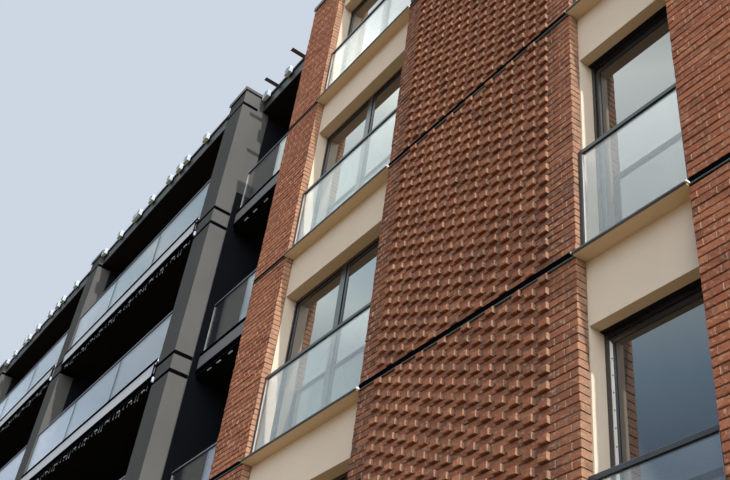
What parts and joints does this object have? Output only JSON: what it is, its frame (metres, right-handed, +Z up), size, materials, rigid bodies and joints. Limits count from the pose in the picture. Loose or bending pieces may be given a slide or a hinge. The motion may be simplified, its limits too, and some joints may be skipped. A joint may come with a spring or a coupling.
{
  "type": "apartment block",
  "caption": "Modern flat-roofed apartment block: a brick part with a raised-header panel and guarded windows, beside a grey wing of glazed loggias between pilasters",
  "frame": {"origin": "centre of the whole block's box at ground level", "axes": "+X to the right along the front seen from the street, -Y out of the front, +Z up"},
  "size_m": [26.525, 12.11, 16.27],
  "materials": {
    "brick": "matt fired brick",
    "cream_render": "smooth matt render",
    "grey_render": "smooth matt render",
    "dark_render": "smooth matt render",
    "concrete": "plain concrete",
    "roofing": "matt roof membrane",
    "window_frame": "satin anthracite paint",
    "grey_metal": "satin grey paint",
    "black_metal": "satin black paint",
    "white_plastic": "satin",
    "window_glass": "clear",
    "guard_glass": "clear"
  },
  "bodies": {
    "root": {"left_pier": "brick", "relief_panel": "brick", "right_pier": "brick", "front_panels": "cream_render", "jamb_linings": "cream_render", "front_sills": "grey_metal", "sill_ends": "white_plastic", "window_rails": "window_frame", "window_stiles": "window_frame", "window_panes": "window_glass", "guard_posts": "window_frame", "guard_rails": "window_frame", "guard_panes_glass": "guard_glass", "band_angles": "black_metal", "block_party_wall": "brick", "block_end_wall": "brick", "block_floors": "concrete", "block_roof_deck": "roofing", "block_coping": "black_metal", "block_rear_piers": "brick", "block_rear_panels": "cream_render", "pilasters": "grey_render", "pilaster_caps": "black_metal", "cross_walls": "dark_render", "wing_end_wall": "grey_render", "loggia_floors": "dark_render", "loggia_edge_strips": "grey_metal", "loggia_channels": "black_metal", "loggia_glass": "guard_glass", "loggia_top_rails": "black_metal", "loggia_wall_piers": "dark_render", "loggia_wall_heads": "dark_render", "door_rails": "window_frame", "door_stiles": "window_frame", "door_panes": "window_glass", "wing_floors": "concrete", "wing_roof_decks": "roofing", "wing_roof_strips": "grey_metal", "wing_copings": "black_metal", "wing_rear_piers": "grey_render", "wing_rear_panels": "grey_render", "rear_sills": "grey_metal", "rear_rails": "window_frame", "rear_stiles": "window_frame", "rear_panes": "window_glass"}
  },
  "joints": []
}
